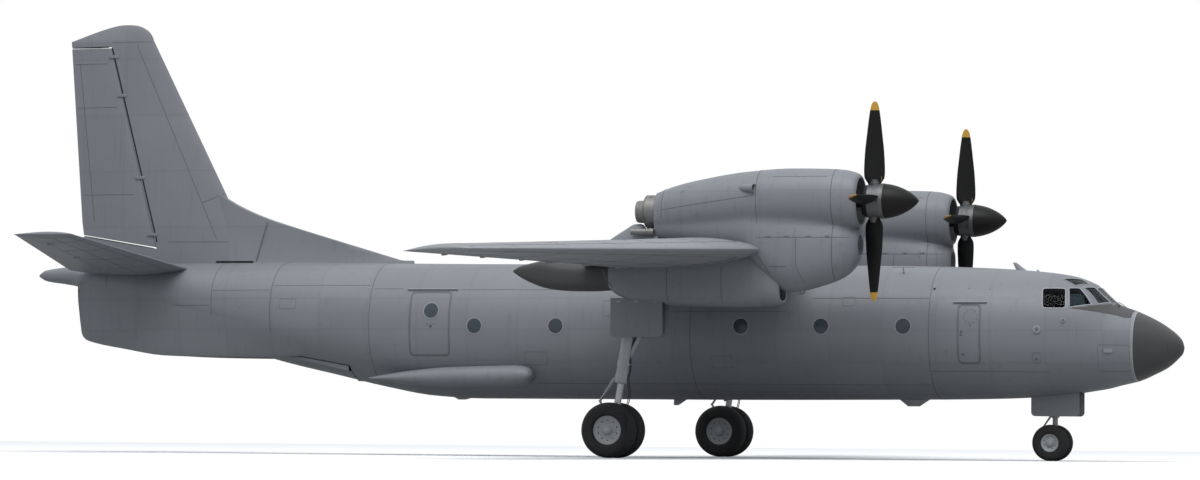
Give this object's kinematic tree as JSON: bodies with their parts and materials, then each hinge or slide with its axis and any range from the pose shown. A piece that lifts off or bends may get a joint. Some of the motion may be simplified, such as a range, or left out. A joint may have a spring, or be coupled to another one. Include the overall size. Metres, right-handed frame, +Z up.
{
  "type": "high-wing twin turboprop transport aeroplane",
  "caption": "High-wing twin turboprop transport aeroplane parked on its landing gear, with moving propellers, wheels, control surfaces, flaps and rear cargo ramp.",
  "frame": {"origin": "on the ground, below the middle of the overall box", "axes": "+X to the nose, +Y to port, +Z up"},
  "size_m": [23.8, 29.2, 8.78],
  "materials": {
    "fuselage_skin": "semi-matt mid grey paint, weathered, with riveted panel joints",
    "wing_skin": "semi-matt mid grey paint",
    "tail_skin": "semi-matt mid grey paint",
    "nacelle_skin": "semi-matt mid grey paint with exhaust staining",
    "gear_door": "semi-matt mid grey paint",
    "radome": "dark grey dielectric paint",
    "cockpit_glass": "clear laminated glass, dark from outside",
    "propeller_blade": "matt black paint with mustard tips",
    "spinner": "dark grey paint",
    "engine": "plain block standing in for the engine",
    "exhaust_metal": "heat-stained steel",
    "landing_gear": "light grey paint",
    "wheel": "light grey paint",
    "tyre": "black rubber",
    "seat": "dark green-grey fabric",
    "instrument_panel": "dark grey"
  },
  "bodies": {
    "airframe": {"centre_fuselage": "fuselage_skin", "cockpit_glazing": "cockpit_glass", "engine_cowling_port": "nacelle_skin", "engine_cowling_starboard": "nacelle_skin", "engine_port": "engine", "engine_starboard": "engine", "exhaust_port": "exhaust_metal", "exhaust_starboard": "exhaust_metal", "fin": "tail_skin", "gear_pod_port": "nacelle_skin", "gear_pod_starboard": "nacelle_skin", "instrument_panel": "instrument_panel", "main_gear_door_inner_port": "gear_door", "main_gear_door_inner_starboard": "gear_door", "main_gear_door_outer_port": "gear_door", "main_gear_door_outer_starboard": "gear_door", "main_leg_port": "landing_gear", "main_leg_starboard": "landing_gear", "nose_gear_door_port": "gear_door", "nose_gear_door_starboard": "gear_door", "nose_leg": "landing_gear", "nose_section": "fuselage_skin", "outer_wing_port": "wing_skin", "outer_wing_starboard": "wing_skin", "pilot_seat_port": "seat", "pilot_seat_starboard": "seat", "radome": "radome", "rear_fuselage": "fuselage_skin", "tail_cone": "fuselage_skin", "tailplane_port": "tail_skin", "tailplane_starboard": "tail_skin", "ventral_strake_port": "fuselage_skin", "ventral_strake_starboard": "fuselage_skin", "wing_centre": "wing_skin"},
    "propeller_starboard": {"propeller_starboard": "propeller_blade", "spinner_starboard": "spinner"},
    "propeller_port": {"propeller_port": "propeller_blade", "spinner_port": "spinner"},
    "main_wheels_starboard": {"main_starboard_wheels": "wheel", "main_starboard_tyre_left": "tyre", "main_starboard_tyre_right": "tyre"},
    "main_wheels_port": {"main_port_wheels": "wheel", "main_port_tyre_left": "tyre", "main_port_tyre_right": "tyre"},
    "nose_steering": {"nose_fork": "landing_gear"},
    "nose_wheels": {"nose_wheels": "wheel", "nose_tyre_left": "tyre", "nose_tyre_right": "tyre"},
    "cargo_ramp": {"cargo_ramp": "fuselage_skin"},
    "rudder": {"rudder": "tail_skin"},
    "elevator_starboard": {"elevator_starboard": "tail_skin"},
    "aileron_starboard": {"aileron_starboard": "wing_skin"},
    "inner_flap_starboard": {"inner_flap_starboard": "wing_skin"},
    "outer_flap_starboard": {"outer_flap_starboard": "wing_skin"},
    "elevator_port": {"elevator_port": "tail_skin"},
    "aileron_port": {"aileron_port": "wing_skin"},
    "inner_flap_port": {"inner_flap_port": "wing_skin"},
    "outer_flap_port": {"outer_flap_port": "wing_skin"}
  },
  "joints": [
    {"name": "propeller_spin_starboard", "type": "hinge", "parent": "airframe", "child": "propeller_starboard", "pos_m": [6.75, -3.95, 4.83], "axis": [1, 0, 0], "continuous": true},
    {"name": "propeller_spin_port", "type": "hinge", "parent": "airframe", "child": "propeller_port", "pos_m": [6.75, 3.95, 4.83], "axis": [1, 0, 0], "continuous": true},
    {"name": "main_wheel_roll_starboard", "type": "hinge", "parent": "airframe", "child": "main_wheels_starboard", "pos_m": [1.7, -3.95, 0.525], "axis": [0, 1, 0], "continuous": true},
    {"name": "main_wheel_roll_port", "type": "hinge", "parent": "airframe", "child": "main_wheels_port", "pos_m": [1.7, 3.95, 0.525], "axis": [0, 1, 0], "continuous": true},
    {"name": "nose_steer", "type": "hinge", "parent": "airframe", "child": "nose_steering", "pos_m": [9.4, 0, 0.35], "axis": [0, 0, 1], "range_deg": [-45, 45]},
    {"name": "nose_wheel_roll", "type": "hinge", "parent": "nose_steering", "child": "nose_wheels", "pos_m": [9.35, 0, 0.35], "axis": [0, 1, 0], "continuous": true},
    {"name": "cargo_ramp_hinge", "type": "hinge", "parent": "airframe", "child": "cargo_ramp", "pos_m": [-4.734, 0, 1.50291], "axis": [0, -1, 0], "range_deg": [0, 30]},
    {"name": "rudder_hinge", "type": "hinge", "parent": "airframe", "child": "rudder", "pos_m": [-9.84852, 0, 6.25], "axis": [-0.2473, 0, 0.9689], "range_deg": [-25, 25]},
    {"name": "elevator_hinge_starboard", "type": "hinge", "parent": "airframe", "child": "elevator_starboard", "pos_m": [-9.89103, -2.825, 3.97891], "axis": [0.0588, -0.9913, 0.1174], "range_deg": [-25, 20]},
    {"name": "elevator_hinge_port", "type": "hinge", "parent": "airframe", "child": "elevator_port", "pos_m": [-9.89103, 2.825, 3.97891], "axis": [-0.0588, -0.9913, -0.1174], "range_deg": [-25, 20]},
    {"name": "aileron_hinge_starboard", "type": "hinge", "parent": "airframe", "child": "aileron_starboard", "pos_m": [1.70215, -11.9, 3.59225], "axis": [-0.0645, -0.9976, -0.0253], "range_deg": [-20, 20]},
    {"name": "aileron_hinge_port", "type": "hinge", "parent": "airframe", "child": "aileron_port", "pos_m": [1.70215, 11.9, 3.59225], "axis": [0.0645, -0.9976, 0.0253], "range_deg": [-20, 20]},
    {"name": "inner_flap_hinge_starboard", "type": "hinge", "parent": "airframe", "child": "inner_flap_starboard", "pos_m": [2.1644, -2.51, 3.77331], "axis": [0, -1, 0], "range_deg": [0, 38]},
    {"name": "inner_flap_hinge_port", "type": "hinge", "parent": "airframe", "child": "inner_flap_port", "pos_m": [2.1644, 2.51, 3.77331], "axis": [0, -1, 0], "range_deg": [0, 38]},
    {"name": "outer_flap_hinge_starboard", "type": "hinge", "parent": "airframe", "child": "outer_flap_starboard", "pos_m": [2.00892, -7.155, 3.71241], "axis": [-0.0645, -0.9976, -0.0253], "range_deg": [0, 38]},
    {"name": "outer_flap_hinge_port", "type": "hinge", "parent": "airframe", "child": "outer_flap_port", "pos_m": [2.00892, 7.155, 3.71241], "axis": [0.0645, -0.9976, 0.0253], "range_deg": [0, 38]}
  ],
  "couplings": [
    {"joint": "elevator_hinge_port", "follows": "elevator_hinge_starboard", "ratio": 1},
    {"joint": "aileron_hinge_port", "follows": "aileron_hinge_starboard", "ratio": -1},
    {"joint": "inner_flap_hinge_port", "follows": "inner_flap_hinge_starboard", "ratio": 1},
    {"joint": "outer_flap_hinge_starboard", "follows": "inner_flap_hinge_starboard", "ratio": 1},
    {"joint": "outer_flap_hinge_port", "follows": "inner_flap_hinge_starboard", "ratio": 1}
  ]
}
